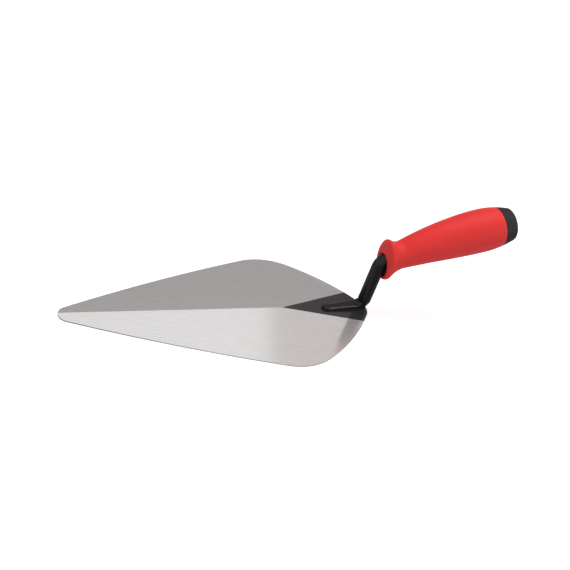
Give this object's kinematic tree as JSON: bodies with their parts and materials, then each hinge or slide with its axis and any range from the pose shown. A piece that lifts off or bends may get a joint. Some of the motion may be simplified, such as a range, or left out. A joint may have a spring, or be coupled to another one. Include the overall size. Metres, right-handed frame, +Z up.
{
  "type": "brick trowel",
  "caption": "Brick trowel with a kite-shaped ground steel blade, a welded gooseneck shank and a flanged soft grip with an end cap, for spreading mortar on bricks.",
  "frame": {"origin": "on the underside of the blade, straight below the axis of the neck, with the trowel lying flat on its blade", "axes": "+X from the blade's tip to the butt of the handle, +Y to the left of that, +Z up from the blade's underside"},
  "size_m": [0.3979, 0.14, 0.1141],
  "materials": {
    "blade_steel": "finely ground, with a dark lacquered land at the heel",
    "black_lacquer": "semi-gloss black lacquer",
    "lacquered_weld": "lacquered over a rough weld",
    "core_plastic": "matte moulded",
    "soft_grip": "satin soft-touch moulding",
    "cap_plastic": "fine-grained hard moulding"
  },
  "bodies": {
    "root": {"blade": "blade_steel", "shank": "black_lacquer", "weld_bead": "lacquered_weld", "handle_core": "core_plastic", "grip_sleeve": "soft_grip", "end_cap": "cap_plastic"}
  },
  "joints": []
}
